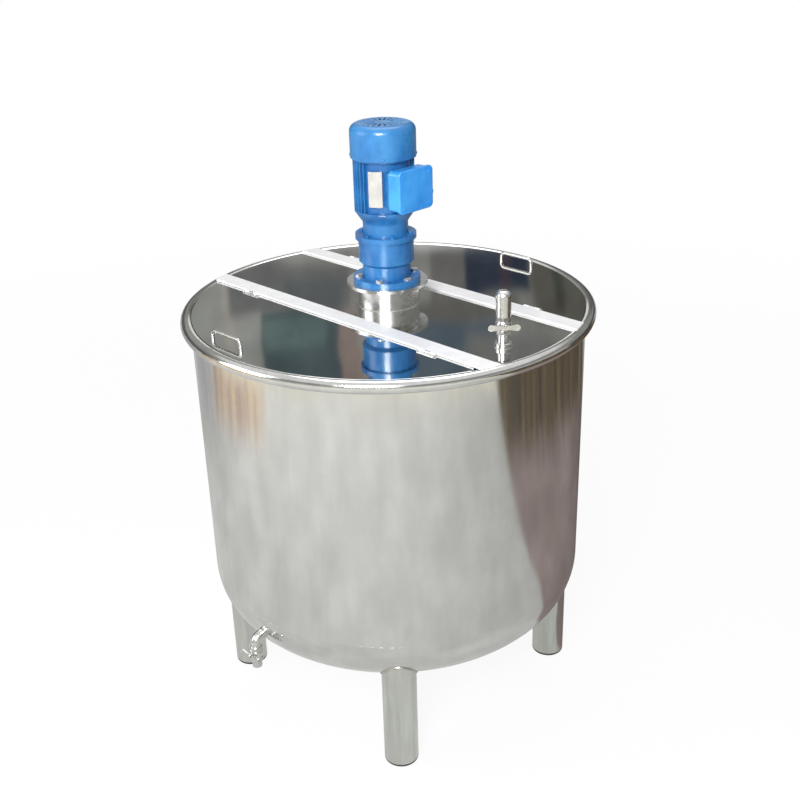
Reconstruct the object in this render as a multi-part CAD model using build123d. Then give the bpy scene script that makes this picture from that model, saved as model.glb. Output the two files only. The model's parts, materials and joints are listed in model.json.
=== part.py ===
from build123d import *
import os
from math import asin, cos, radians, sin, sqrt

# Mixing tank, millimetres. +Z up, origin on the tank axis at floor level.
# +X runs along the bridge to the inlet fitting, -Y is the side of the drain and the front lid.

# Vessel
shell_radius = 476.0
shell_wall = 3.0
knuckle_radius = 146.0
crown_radius = 900.0
knuckle_top_z = 374.0

# Rolled rim
roll_radius = 15.0
roll_wall = 1.8
roll_offset = 9.0
roll_centre_z = 1034.0

# Legs and feet
leg_radius = 42.0
leg_wall = 3.0
leg_inset = 60.0
leg_count = 4
foot_height = 9.0
foot_round = 7.0
foot_spigot_height = 18.0

# Bridge between the lids
bridge_thickness = 4.0
bridge_drop = 3.0
bridge_edge_inset = 1.0
shaft_hole_radius = 30.0
rail_inner_y = 132.0
rail_width = 44.0
rail_thickness = 5.0

# Half-moon lids
lid_thickness = 2.5
lid_seat_gap = 0.3
lid_rail_gap = 1.0
lid_corner_round = 10.0
lid_fold_depth = 8.0
lid_fold_end_gap = 35.0
handle_rod_radius = 4.0
handle_half_width = 50.0
handle_height = 20.0
handle_bend_radius = 11.0
handle_edge_inset = 43.0
front_handle_x = -80.0
back_handle_x = 50.0

# Lid hinges
hinge_x = 300.0
hinge_length = 48.0
hinge_barrel_radius = 3.0
hinge_pin_radius = 1.5
hinge_pin_clearance = 0.05
hinge_leaf_thickness = 1.5
hinge_leaf_width = 10.0
hinge_knuckle_gap = 0.3
hinge_side_gap = 0.4

# Motor stand
stand_radius = 76.0
stand_wall = 3.0
stand_height = 50.0
stand_plate_radius = 97.0
stand_plate_thickness = 8.0
stand_plate_hole_radius = 40.0

# Gear unit
base_flange_radius = 80.0
base_flange_thickness = 12.0
base_neck_radius = 57.0
base_neck_height = 30.0
base_height = 56.0
base_rim_thickness = 6.0
base_web_thickness = 10.0
case_radius = 66.0
case_wall = 10.0
case_height = 48.0
adapter_flange_radius = 72.5
adapter_flange_thickness = 12.0
adapter_neck_radius = 53.5
adapter_neck_height = 26.0
adapter_wall = 8.0
mount_bolt_count = 6
mount_bolt_circle_radius = 68.0
mount_bolt_radius = 5.0
case_bolt_count = 6
case_bolt_circle_radius = 61.0
case_bolt_radius = 3.0
case_bolt_depth = 6.0
bolt_hole_clearance = 0.5
mount_head_flats = 16.0
mount_head_height = 6.5
case_head_flats = 10.0
case_head_height = 4.0

# Gear train, two stages on one parallel shaft
gear_centre_distance = 30.0
input_pinion_radius = 5.5
output_pinion_radius = 6.5
gear_gap = 0.3
input_stage_width = 12.0
output_stage_width = 18.0
output_stage_lift = 4.0
stage_spacing = 6.0
layshaft_radius = 5.0
layshaft_bearing_radius = 11.0
layshaft_bearing_width = 7.0
running_clearance = 0.05

# Output side
output_shaft_radius = 15.0
output_bearing_radius = 31.0
output_bearing_width = 16.0
output_bearing_spacing = 8.0
seal_width = 6.0
coupling_radius = 28.0
coupling_length = 44.0
coupling_drop = 4.0

# Motor
shield_height = 33.0
shield_wall = 6.0
frame_radius = 62.0
frame_bore_radius = 58.0
frame_height = 117.0
fin_tip_radius = 71.5
fin_thickness = 2.4
fin_count = 40
stator_bore_radius = 36.3
stator_length = 72.0
winding_height = 14.0
winding_margin = 4.0
rotor_radius = 36.0
motor_shaft_radius = 10.0
journal_radius = 8.5
fan_seat_radius = 7.0
motor_bearing_radius = 20.0
motor_bearing_width = 12.0
bearing_pocket_depth = 2.0
shaft_way_gap = 4.0
shield_lip = 4.0
shield_step = 1.0
upper_shield_thickness = 7.0
upper_shield_hub_radius = 26.0
upper_shield_hub_height = 2.0
cover_lug_half_width = 7.0
cover_lug_count = 4
fan_radius = 62.0
fan_hub_radius = 15.0
fan_height = 26.0
fan_blade_count = 9
fan_blade_thickness = 2.5
fan_disc_thickness = 2.5
fan_lift = 8.0
cover_radius = 76.5
cover_wall = 2.0
cover_height = 77.0
cover_round = 19.0
cover_overlap = 3.0
cover_lug_gap = 0.05
cover_slot_count = 20
cover_slot_width = 4.0
cover_slot_inner = 20.0
cover_slot_outer = 52.0

# Terminal box on the motor
box_lift = 57.0
box_depth = 30.0
box_width = 104.0
box_height = 92.0
box_wall = 4.0
box_corner = 9.0
box_fin_gap = 45.0
box_pad_depth = 10.0
box_pad_margin = 7.0
box_lid_thickness = 8.0
box_lid_overhang = 3.0
box_lid_round = 3.0
box_post_wall = 3.0
box_screw_head_radius = 4.5
box_screw_head_height = 2.0
box_screw_radius = 2.5
box_screw_inset = 10.0
gland_drop = 18.0
gland_hex_flats = 20.0
gland_hex_height = 8.0
gland_body_radius = 9.0
gland_body_height = 10.0
gland_bore_radius = 5.5

# Bare rating plate on the motor
plate_angle = -62.0
plate_arc = 27.0
plate_height = 82.0
plate_thickness = 1.0
plate_lift = 58.0
plate_seat_radius = 69.5
plate_seat_margin = 3.0

# Agitator
agitator_shaft_radius = 18.0
agitator_end_z = 282.0
agitator_chamfer = 3.0
impeller_radius = 210.0
impeller_hub_radius = 33.0
impeller_hub_height = 64.0
blade_count = 4
blade_width = 84.0
blade_thickness = 6.0
blade_pitch = 45.0
blade_tip_round = 22.0
lower_impeller_z = 335.0
upper_impeller_z = 640.0

# Quarter-turn ball valves, one size for drain and inlet
valve_half_length = 20.0
valve_body_radius = 14.5
valve_bulge_radius = 17.5
valve_hex_flats = 30.0
valve_hex_length = 9.0
valve_bore_radius = 8.0
valve_ball_radius = 11.0
valve_ball_clearance = 0.3
valve_stem_radius = 4.0
valve_boss_radius = 7.0
valve_boss_reach = 18.5
valve_handle_gap = 0.5
valve_handle_length = 70.0
valve_handle_height = 15.0
valve_handle_waist = 9.0
valve_handle_thickness = 3.5
valve_nut_radius = 5.5
valve_nut_height = 3.5
valve_tail_radius = 12.0
valve_tail_length = 19.0
pipe_radius = 13.5
pipe_wall = 3.0

# Drain
drain_reach = 14.0
drain_pipe_z = 318.0
drain_bend_radius = 18.0
drain_valve_z = 276.0

# Inlet fitting on the bridge
inlet_end_inset = 87.0
inlet_y = -45.0
inlet_turn = -45.0
inlet_collar_radius = 19.0
inlet_collar_height = 12.0
inlet_collar_chamfer = 2.0
inlet_nipple_height = 31.0
inlet_riser_radius = 16.5
inlet_riser_height = 38.0
inlet_cap_radius = 17.5
inlet_cap_height = 20.0
inlet_cap_round = 12.0
inlet_cap_overlap = 8.0

# Levels and places that follow from the sizes above
roll_path_radius = shell_radius + roll_offset
roll_top_z = roll_centre_z + roll_radius
leg_circle_radius = shell_radius - leg_inset
bridge_top_z = roll_top_z - bridge_drop
bridge_bottom_z = bridge_top_z - bridge_thickness
rail_top_z = bridge_top_z + rail_thickness
rail_outer_y = rail_inner_y + rail_width
bridge_half_width = rail_outer_y - bridge_edge_inset
lid_top_z = bridge_top_z
lid_bottom_z = lid_top_z - lid_thickness
lid_clearance_radius = roll_radius + lid_seat_gap
lid_radius = roll_path_radius - sqrt(lid_clearance_radius**2 - (lid_bottom_z - roll_centre_z) ** 2)
lid_edge_y = rail_outer_y + lid_rail_gap
hinge_y = rail_outer_y + hinge_leaf_thickness + hinge_side_gap + hinge_barrel_radius
hinge_z = lid_top_z + hinge_barrel_radius + lid_seat_gap
stand_top_z = bridge_top_z + stand_height
base_z = stand_top_z + stand_plate_thickness
case_z = base_z + base_height
adapter_z = case_z + case_height
adapter_neck_z = adapter_z + adapter_flange_thickness
shield_z = adapter_neck_z + adapter_neck_height
frame_z = shield_z + shield_height
upper_shield_z = frame_z + frame_height
cover_z = upper_shield_z + upper_shield_thickness - cover_overlap
cover_top_z = cover_z + cover_height
output_pinion_z = case_z + output_stage_lift
input_pinion_z = output_pinion_z + output_stage_width + stage_spacing
input_wheel_radius = gear_centre_distance - input_pinion_radius
output_wheel_radius = gear_centre_distance - output_pinion_radius
coupling_top_z = stand_top_z - coupling_drop
coupling_bottom_z = coupling_top_z - coupling_length
shaft_joint_z = (coupling_top_z + coupling_bottom_z) / 2
lower_motor_bearing_z = adapter_neck_z + 2 * running_clearance
upper_motor_bearing_z = upper_shield_z - motor_bearing_width / 2
stator_z = frame_z + (frame_height - stator_length) / 2
box_middle_z = frame_z + box_lift
plate_middle_z = frame_z + plate_lift
box_x = fin_tip_radius - box_pad_depth / 2
gland_x = box_x + box_depth / 2
gland_z = box_middle_z - gland_drop
fan_base_z = upper_shield_z + upper_shield_thickness + fan_lift
drain_y = -(shell_radius + drain_reach)
inlet_x = roll_path_radius - inlet_end_inset


def disc(radius, low, high, x=0.0, y=0.0):
    """Upright cylinder between two levels."""
    return Pos(x, y, (low + high) / 2) * Cylinder(radius, high - low)


def ring(outer, inner, low, high, x=0.0, y=0.0):
    """Upright tube between two levels."""
    return disc(outer, low, high, x, y) - disc(inner, low, high, x, y)


def block(x0, x1, y0, y1, z0, z1):
    """Box between two corners."""
    return Pos((x0 + x1) / 2, (y0 + y1) / 2, (z0 + z1) / 2) * Box(x1 - x0, y1 - y0, z1 - z0)


def turned(points):
    """Solid of revolution about Z from a closed outline of (radius, height) points."""
    outline = Polyline(*[(r, 0, z) for r, z in points], close=True)
    return revolve(make_face(outline), Axis.Z)


def around(count, radius, start=0.0):
    """Places on a circle about Z, each turned to face outwards."""
    step = 360.0 / count
    return [Rot(0, 0, start + step * i) * Pos(radius, 0, 0) for i in range(count)]


def hexagon(flats, low, high):
    """Upright hexagonal prism."""
    return Pos(0, 0, low) * extrude(RegularPolygon(flats / 2, 6, major_radius=False), high - low)


def hex_bolt(radius, length, head_flats, head_height):
    """Bolt with its head on Z = 0 and its shank below."""
    return hexagon(head_flats, 0, head_height) + disc(radius, -length, 0)


# Vessel


def vessel_solid(inset, top):
    """Filled vessel of the dished outline, moved in by the inset."""
    centre_r = shell_radius - knuckle_radius
    centre_gap = crown_radius - knuckle_radius
    crown_centre_z = knuckle_top_z + sqrt(centre_gap**2 - centre_r**2)
    lean = asin(centre_r / centre_gap)
    outer = shell_radius - inset
    knuckle = knuckle_radius - inset
    crown = crown_radius - inset
    middle = radians(45.0) + lean / 2
    low_centre = (0, 0, crown_centre_z - crown)
    tangent = (crown * sin(lean), 0, crown_centre_z - crown * cos(lean))
    half_crown = (crown * sin(lean / 2), 0, crown_centre_z - crown * cos(lean / 2))
    half_knuckle = (centre_r + knuckle * sin(middle), 0, knuckle_top_z - knuckle * cos(middle))
    edges = [
        ThreePointArc(low_centre, half_crown, tangent),
        ThreePointArc(tangent, half_knuckle, (outer, 0, knuckle_top_z)),
    ]
    if top > knuckle_top_z:
        edges.append(Line((outer, 0, knuckle_top_z), (outer, 0, top)))
    edges.append(Line((outer, 0, top), (0, 0, top)))
    edges.append(Line((0, 0, top), low_centre))
    return revolve(make_face(edges), Axis.Z)


def rim_solid(radius):
    return Pos(0, 0, roll_centre_z) * Torus(roll_path_radius, radius)


vessel_outside = vessel_solid(0, roll_centre_z)
rim_outside = rim_solid(roll_radius)


def tank_bottom():
    shell = vessel_solid(0, knuckle_top_z) - vessel_solid(shell_wall, knuckle_top_z)
    bore = Pos(0, drain_y, drain_pipe_z) * Rot(90, 0, 0) * Cylinder(pipe_radius - pipe_wall, shell_radius / 2)
    return shell - bore


def tank_wall():
    return ring(shell_radius, shell_radius - shell_wall, knuckle_top_z, roll_centre_z) - rim_outside


def rim_roll():
    return rim_outside - rim_solid(roll_radius - roll_wall)


def leg(place):
    pipe = ring(leg_radius, leg_radius - leg_wall, foot_height, knuckle_top_z)
    return place * pipe - vessel_outside


def foot(place):
    pad = disc(leg_radius, 0, foot_height)
    pad = fillet(pad.edges().sort_by(Axis.Z)[0], foot_round)
    spigot = disc(leg_radius - leg_wall, foot_height, foot_height + foot_spigot_height)
    return place * (pad + spigot)


# Bridge


def bridge_plate():
    width = 2 * bridge_half_width
    length = 2 * roll_path_radius
    plate = block(-length / 2, length / 2, -width / 2, width / 2, bridge_bottom_z, bridge_top_z)
    plate &= disc(roll_path_radius, bridge_bottom_z, bridge_top_z)
    plate -= rim_outside
    plate -= disc(shaft_hole_radius, bridge_bottom_z, bridge_top_z)
    plate -= disc(pipe_radius - pipe_wall, bridge_bottom_z, bridge_top_z, inlet_x, inlet_y)
    return plate


def rail(side):
    """Flat bar along one edge of the bridge, its ends coped over the rolled rim."""
    reach = roll_path_radius
    edges = sorted((side * rail_inner_y, side * rail_outer_y))
    bar = block(-reach, reach, *edges, bridge_top_z, rail_top_z)
    bar &= disc(reach, bridge_top_z, rail_top_z)
    return bar - rim_outside


# Hinges


def knuckle(start, end):
    tube = Cylinder(hinge_barrel_radius, end - start)
    bore = Cylinder(hinge_pin_radius + hinge_pin_clearance, end - start)
    return Pos((start + end) / 2, 0, 0) * Rot(0, 90, 0) * tube, Pos((start + end) / 2, 0, 0) * Rot(0, 90, 0) * bore


def fixed_hinge_leaf():
    """Leaf on the rail's side with two outer knuckles, hinge axis on X at the origin, rail towards +Y."""
    half = hinge_length / 2
    third = hinge_length / 6 + hinge_knuckle_gap
    face_y = hinge_side_gap + hinge_barrel_radius
    leaf_top = rail_top_z - hinge_z
    leaf = block(-half, half, face_y, face_y + hinge_leaf_thickness, -hinge_barrel_radius, leaf_top)
    for start, end in ((-half, -third), (third, half)):
        tube, bore = knuckle(start, end)
        web = block(start, end, 0, face_y, 0, leaf_top)
        leaf = leaf + tube + web - bore
    return leaf


def moving_hinge_leaf():
    """Leaf on the lid with the middle knuckle, lid towards -Y."""
    half = hinge_length / 2
    third = hinge_length / 6
    low = lid_top_z - hinge_z
    high = low + hinge_leaf_thickness
    clear = hinge_barrel_radius + hinge_side_gap
    leaf = block(-half, half, -hinge_leaf_width, -clear, low, high)
    tongue = block(-third, third, -clear, 0, low, high)
    tube, bore = knuckle(-third, third)
    return leaf + tongue + tube - bore


def hinge_pin():
    return Rot(0, 90, 0) * Cylinder(hinge_pin_radius, hinge_length)


def hinge_places(side):
    turn = Rot(0, 0, 0) if side < 0 else Rot(0, 0, 180)
    return [Pos(x, side * hinge_y, hinge_z) * turn for x in (-hinge_x, hinge_x)]


# Lids


def lid(side):
    sheet = disc(lid_radius, lid_bottom_z, lid_top_z)
    half = block(-lid_radius, lid_radius, *sorted((side * lid_edge_y, side * lid_radius)), lid_bottom_z, lid_top_z)
    fold_reach = sqrt(lid_radius**2 - lid_edge_y**2) - lid_fold_end_gap
    fold_y = sorted((side * lid_edge_y, side * (lid_edge_y + lid_thickness)))
    fold = block(-fold_reach, fold_reach, *fold_y, lid_bottom_z - lid_fold_depth, lid_bottom_z)
    sheet &= half
    corners = sheet.edges().filter_by(Axis.Z)
    return fillet(corners, lid_corner_round) + fold


def lid_handle(side, x):
    y = side * (lid_radius - handle_edge_inset)
    top = lid_top_z + handle_height
    ends = handle_half_width
    corners = [(x - ends, y, lid_top_z), (x - ends, y, top), (x + ends, y, top), (x + ends, y, lid_top_z)]
    path = FilletPolyline(*corners, radius=handle_bend_radius)
    return sweep(Plane(origin=corners[0], z_dir=(0, 0, 1)) * Circle(handle_rod_radius), path=path)


# Motor stand and gear unit


def motor_stand():
    return ring(stand_radius, stand_radius - stand_wall, bridge_top_z, stand_top_z)


def stand_plate():
    plate = ring(stand_plate_radius, stand_plate_hole_radius, stand_top_z, base_z)
    for place in around(mount_bolt_count, mount_bolt_circle_radius):
        plate -= place * disc(mount_bolt_radius, stand_top_z, base_z)
    return plate


def gearbox_base():
    """Foot flange, neck and the floor of the gear case, bored for the output bearings."""
    flange_top = base_z + base_flange_thickness
    neck_top = flange_top + base_neck_height
    web_z = case_z - base_web_thickness
    shaft_way = output_shaft_radius + bolt_hole_clearance
    body = turned([
        (output_bearing_radius, base_z),
        (base_flange_radius, base_z),
        (base_flange_radius, flange_top),
        (base_neck_radius, flange_top),
        (base_neck_radius, neck_top),
        (case_radius, case_z - base_rim_thickness),
        (case_radius, case_z),
        (shaft_way, case_z),
        (shaft_way, web_z),
        (output_bearing_radius, web_z),
    ])
    for place in around(mount_bolt_count, mount_bolt_circle_radius):
        body -= place * disc(mount_bolt_radius + bolt_hole_clearance, base_z, flange_top)
    for place in case_bolt_places():
        body -= place * disc(case_bolt_radius, case_z - case_bolt_depth, case_z)
    return body - disc(layshaft_bearing_radius, case_z - layshaft_bearing_width, case_z, -gear_centre_distance)


def case_bolt_places():
    return around(case_bolt_count, case_bolt_circle_radius, 180 / case_bolt_count)


def gearbox_case():
    case = ring(case_radius, case_radius - case_wall, case_z, adapter_z)
    for place in case_bolt_places():
        case -= place * disc(case_bolt_radius, case_z, adapter_z)
    return case


def motor_adapter():
    pocket_top = adapter_neck_z + motor_bearing_width + bearing_pocket_depth
    shaft_way = journal_radius + shaft_way_gap
    body = turned([
        (shaft_way, adapter_z),
        (adapter_flange_radius, adapter_z),
        (adapter_flange_radius, adapter_neck_z),
        (adapter_neck_radius, adapter_neck_z),
        (adapter_neck_radius, shield_z),
        (adapter_neck_radius - adapter_wall, shield_z),
        (adapter_neck_radius - adapter_wall, pocket_top),
        (motor_bearing_radius, pocket_top),
        (motor_bearing_radius, adapter_neck_z),
        (shaft_way, adapter_neck_z),
    ])
    for place in case_bolt_places():
        body -= place * disc(case_bolt_radius, adapter_z, adapter_neck_z)
    body -= disc(layshaft_bearing_radius, adapter_z, adapter_z + layshaft_bearing_width, -gear_centre_distance)
    return body


def bearing(outer, inner, low, width, x=0.0):
    """Shielded ball bearing: two races and the recessed shields between them."""
    race = (outer - inner) / 4
    recess = width / 8
    body = ring(outer, inner, low, low + width, x)
    body -= ring(outer - race, inner + race, low, low + recess, x)
    body -= ring(outer - race, inner + race, low + width - recess, low + width, x)
    return body


def mount_bolts():
    """Bolts that hold the gear unit down on the round plate."""
    length = base_flange_thickness + stand_plate_thickness
    bolt = hex_bolt(mount_bolt_radius, length, mount_head_flats, mount_head_height)
    lift = Pos(0, 0, base_z + base_flange_thickness)
    return [lift * place * bolt for place in around(mount_bolt_count, mount_bolt_circle_radius)]


def case_bolts():
    """Long bolts through the motor flange and the case into the base."""
    length = adapter_flange_thickness + case_height + case_bolt_depth
    bolt = hex_bolt(case_bolt_radius, length, case_head_flats, case_head_height)
    return [Pos(0, 0, adapter_neck_z) * place * bolt for place in case_bolt_places()]


def layshaft():
    wheel = disc(input_wheel_radius - gear_gap, input_pinion_z, input_pinion_z + input_stage_width)
    pinion = disc(output_pinion_radius, output_pinion_z, input_pinion_z)
    low = case_z - layshaft_bearing_width
    high = adapter_z + layshaft_bearing_width
    shaft = disc(layshaft_radius - running_clearance, low, high)
    return Pos(-gear_centre_distance, 0, 0) * (wheel + pinion + shaft)


# Motor


def lower_end_shield():
    lip = shield_lip
    inner = adapter_neck_radius - adapter_wall
    return turned([
        (inner, shield_z),
        (adapter_neck_radius, shield_z),
        (adapter_neck_radius + shield_step, shield_z + lip),
        (fin_tip_radius, frame_z - lip),
        (fin_tip_radius, frame_z),
        (frame_bore_radius, frame_z),
        (frame_bore_radius, frame_z - lip),
        (inner, shield_z + lip),
    ])


def motor_frame():
    profile = Circle(frame_radius)
    fin_length = fin_tip_radius - frame_bore_radius
    fin_middle = (fin_tip_radius + frame_bore_radius) / 2
    plate_reach = plate_arc / 2 + plate_seat_margin
    for i in range(fin_count):
        angle = 360.0 / fin_count * (i + 0.5)
        beside_box = min(angle, 360 - angle) < box_fin_gap
        beside_plate = abs(angle - 360 - plate_angle) < plate_reach
        if not beside_box and not beside_plate:
            profile += Rot(0, 0, angle) * Pos(fin_middle, 0) * Rectangle(fin_length, fin_thickness)
    frame = Pos(0, 0, frame_z) * extrude(profile, frame_height)
    half = box_width / 2 - box_pad_margin
    tall = box_height / 2 - box_pad_margin
    frame += block(0, box_x, -half, half, box_middle_z - tall, box_middle_z + tall)
    low, high = plate_levels()
    frame += plate_sector(frame_bore_radius, plate_seat_radius, low, high)
    return frame - disc(frame_bore_radius, frame_z, upper_shield_z)


def stator_core():
    core = ring(frame_bore_radius, stator_bore_radius, stator_z, stator_z + stator_length)
    for low in (stator_z - winding_height, stator_z + stator_length):
        outer = frame_bore_radius - winding_margin
        inner = stator_bore_radius + winding_margin
        core += ring(outer, inner, low, low + winding_height)
    return core


def upper_end_shield():
    """Upper end shield with the bearing hub and four lugs that hold the fan cover."""
    top = upper_shield_z + upper_shield_thickness
    hub_top = top + upper_shield_hub_height
    plate = disc(fin_tip_radius, upper_shield_z, top)
    plate += disc(upper_shield_hub_radius, upper_motor_bearing_z, hub_top)
    plate -= disc(motor_bearing_radius, upper_motor_bearing_z, upper_motor_bearing_z + motor_bearing_width)
    lug_reach = cover_radius - cover_wall - cover_lug_gap
    lug = block(frame_radius, cover_radius, -cover_lug_half_width, cover_lug_half_width, upper_shield_z, top)
    for i in range(cover_lug_count):
        plate += Rot(0, 0, 360 / cover_lug_count * (i + 0.5)) * lug
    plate &= disc(lug_reach, upper_motor_bearing_z, hub_top)
    return plate - disc(journal_radius + bolt_hole_clearance, upper_motor_bearing_z, hub_top)


def fan_cover():
    cup = disc(cover_radius, cover_z, cover_top_z)
    cup = fillet(cup.edges().sort_by(Axis.Z)[-1], cover_round)
    inside = disc(cover_radius - cover_wall, cover_z, cover_top_z - cover_wall)
    inside = fillet(inside.edges().sort_by(Axis.Z)[-1], cover_round - cover_wall)
    cup -= inside
    for i in range(cover_slot_count):
        slot = block(
            cover_slot_inner, cover_slot_outer, -cover_slot_width / 2, cover_slot_width / 2,
            cover_top_z - 2 * cover_wall, cover_top_z + cover_wall,
        )
        cup -= Rot(0, 0, 360 / cover_slot_count * i) * slot
    return cup


def motor_shaft():
    pinion = disc(input_pinion_radius, input_pinion_z, adapter_z)
    journal = journal_radius - running_clearance
    lower = disc(journal, adapter_z, lower_motor_bearing_z + motor_bearing_width)
    middle_top = upper_motor_bearing_z
    middle = disc(motor_shaft_radius, lower_motor_bearing_z + motor_bearing_width + 1, middle_top - 1)
    joint = disc(journal, adapter_z, middle_top + motor_bearing_width + upper_shield_thickness)
    fan_top = fan_base_z + fan_height
    seat = disc(fan_seat_radius, middle_top, fan_top)
    return pinion + lower + middle + joint + seat


def rotor_core():
    return ring(rotor_radius, motor_shaft_radius, stator_z, stator_z + stator_length)


def cooling_fan():
    low = fan_base_z
    high = low + fan_height
    hub = disc(fan_hub_radius, low, high) + disc(fan_radius, low, low + fan_disc_thickness)
    half = fan_blade_thickness / 2
    blade = block(fan_hub_radius - fan_blade_thickness, fan_radius, -half, half, low, high)
    for i in range(fan_blade_count):
        hub += Rot(0, 0, 360 / fan_blade_count * i) * blade
    return hub - disc(fan_seat_radius, low, high)


def box_shell(x0, x1, width, height, corner):
    outline = RectangleRounded(width, height, corner)
    return Pos(x0, 0, box_middle_z) * extrude(Plane.YZ * outline, x1 - x0)


def box_screw_places():
    y = box_width / 2 - box_screw_inset
    z = box_height / 2 - box_screw_inset
    return [(sy * y, box_middle_z + sz * z) for sy in (-1, 1) for sz in (-1, 1)]


def terminal_box():
    front = box_x + box_depth
    box = box_shell(box_x, front, box_width, box_height, box_corner)
    inner = box_corner - box_wall
    box -= box_shell(box_x + box_wall, front, box_width - 2 * box_wall, box_height - 2 * box_wall, inner)
    for y, z in box_screw_places():
        post = Rot(0, 90, 0) * Cylinder(box_screw_radius + box_post_wall, box_depth - box_wall)
        box += Pos((box_x + box_wall + front) / 2, y, z) * post
    bore = Cylinder(gland_bore_radius, 4 * box_wall)
    return box - Pos(gland_x, box_width / 2, gland_z) * Rot(90, 0, 0) * bore


def terminal_lid():
    front = box_x + box_depth
    width = box_width + 2 * box_lid_overhang
    height = box_height + 2 * box_lid_overhang
    cover = box_shell(front, front + box_lid_thickness, width, height, box_corner + box_lid_overhang)
    cover = fillet(cover.faces().sort_by(Axis.X)[-1].edges(), box_lid_round)
    for y, z in box_screw_places():
        cover -= Pos(front + box_lid_thickness / 2, y, z) * Rot(0, 90, 0) * Cylinder(box_screw_radius, box_lid_thickness)
    return cover


def box_screws():
    front = box_x + box_depth + box_lid_thickness
    head = Cylinder(box_screw_head_radius, box_screw_head_height)
    head = Pos(front + box_screw_head_height / 2, 0, 0) * Rot(0, 90, 0) * head
    shank = Pos(front - box_lid_thickness / 2, 0, 0) * Rot(0, 90, 0) * Cylinder(box_screw_radius, box_lid_thickness)
    return [Pos(0, y, z) * (head + shank) for y, z in box_screw_places()]


def cable_gland():
    """Hexagon nut and collar on the side of the terminal box, bored for the cable."""
    length = gland_hex_height + gland_body_height
    gland = hexagon(gland_hex_flats, 0, gland_hex_height) + disc(gland_body_radius, gland_hex_height, length)
    gland -= disc(gland_bore_radius, 0, length)
    return Pos(gland_x, box_width / 2, gland_z) * Rot(-90, 0, 0) * gland


def plate_levels():
    return plate_middle_z - plate_height / 2, plate_middle_z + plate_height / 2


def plate_sector(inner, outer, low, high):
    """Slice of a tube over the arc of the rating plate."""
    half = radians(plate_arc / 2)
    reach = 2 * cover_radius
    wedge = make_face(Polyline(
        (0, 0), (reach * cos(half), -reach * sin(half)), (reach * cos(half), reach * sin(half)), close=True,
    ))
    wedge = Pos(0, 0, low) * extrude(wedge, high - low)
    return Rot(0, 0, plate_angle) * (ring(outer, inner, low, high) & wedge)


def rating_plate():
    low, high = plate_levels()
    return plate_sector(plate_seat_radius, plate_seat_radius + plate_thickness, low, high)


# Output shaft and agitator


def output_shaft():
    journal = output_shaft_radius - running_clearance
    return disc(journal, shaft_joint_z, output_pinion_z + output_stage_width)


def output_wheel():
    outer = output_wheel_radius - gear_gap
    inner = output_shaft_radius - running_clearance
    return ring(outer, inner, output_pinion_z, output_pinion_z + output_stage_width)


def shaft_coupling():
    sleeve = disc(coupling_radius, coupling_bottom_z, coupling_top_z)
    sleeve -= disc(output_shaft_radius - running_clearance, shaft_joint_z, coupling_top_z)
    return sleeve - disc(agitator_shaft_radius, coupling_bottom_z, shaft_joint_z)


def agitator_shaft():
    rod = disc(agitator_shaft_radius, agitator_end_z, shaft_joint_z)
    return chamfer(rod.edges().sort_by(Axis.Z)[0], agitator_chamfer)


def impeller(level, turn):
    """Hub with pitched blades, the tips' corners rounded."""
    blade = Box(impeller_radius - impeller_hub_radius / 2, blade_thickness, blade_width)
    blade = Pos((impeller_radius + impeller_hub_radius / 2) / 2, 0, 0) * blade
    tips = blade.edges().filter_by(Axis.Y).group_by(Axis.X)[-1]
    blade = Rot(blade_pitch, 0, 0) * fillet(tips, blade_tip_round)
    body = Cylinder(impeller_hub_radius, impeller_hub_height)
    for i in range(blade_count):
        body += Rot(0, 0, 360 / blade_count * i) * blade
    body -= Cylinder(agitator_shaft_radius, 2 * impeller_hub_height)
    return Pos(0, 0, level) * Rot(0, 0, turn) * body


# Ball valves, built with the flow along Z and the stem along +X


def valve_body(tail):
    half = valve_half_length
    body = Cylinder(valve_body_radius, 2 * half) + Sphere(valve_bulge_radius)
    body += hexagon(valve_hex_flats, half - valve_hex_length, half)
    body += hexagon(valve_hex_flats, -half, valve_hex_length - half)
    body += Pos(valve_boss_reach / 2, 0, 0) * Rot(0, 90, 0) * Cylinder(valve_boss_radius, valve_boss_reach)
    if tail:
        body += disc(valve_tail_radius, -half - valve_tail_length, -half)
    body -= disc(valve_bore_radius, -half - valve_tail_length, half)
    body -= Sphere(valve_ball_radius + valve_ball_clearance)
    stem_hole = Cylinder(valve_stem_radius + running_clearance, 2 * valve_boss_reach)
    return body - Pos(valve_boss_reach, 0, 0) * Rot(0, 90, 0) * stem_hole


def valve_ball():
    reach = valve_boss_reach + valve_handle_gap + valve_handle_thickness
    ball = Sphere(valve_ball_radius) - Rot(90, 0, 0) * Cylinder(valve_bore_radius, 3 * valve_ball_radius)
    stem_start = valve_ball_radius - 2.0
    stem = Pos((stem_start + reach) / 2, 0, 0) * Rot(0, 90, 0) * Cylinder(valve_stem_radius, reach - stem_start)
    return ball + stem


def valve_handle():
    """Waisted bar across the flow with a dome nut over the stem."""
    start = valve_boss_reach + valve_handle_gap
    end = valve_handle_length / 2
    tall = valve_handle_height / 2
    waist = valve_handle_waist / 2
    outline = make_face([
        ThreePointArc((-end + tall, tall), (-end, 0), (-end + tall, -tall)),
        Spline((-end + tall, -tall), (0, -waist), (end - tall, -tall)),
        ThreePointArc((end - tall, -tall), (end, 0), (end - tall, tall)),
        Spline((end - tall, tall), (0, waist), (-end + tall, tall)),
    ])
    bar = Pos(start, 0, 0) * extrude(Plane.YZ * outline, valve_handle_thickness)
    bar -= Pos(start, 0, 0) * Rot(0, 90, 0) * Cylinder(valve_stem_radius, 2 * valve_handle_thickness)
    nut = Pos(start + valve_handle_thickness + valve_nut_height / 2, 0, 0) * Rot(0, 90, 0)
    nut *= Cylinder(valve_nut_radius, valve_nut_height)
    return bar + nut


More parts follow.
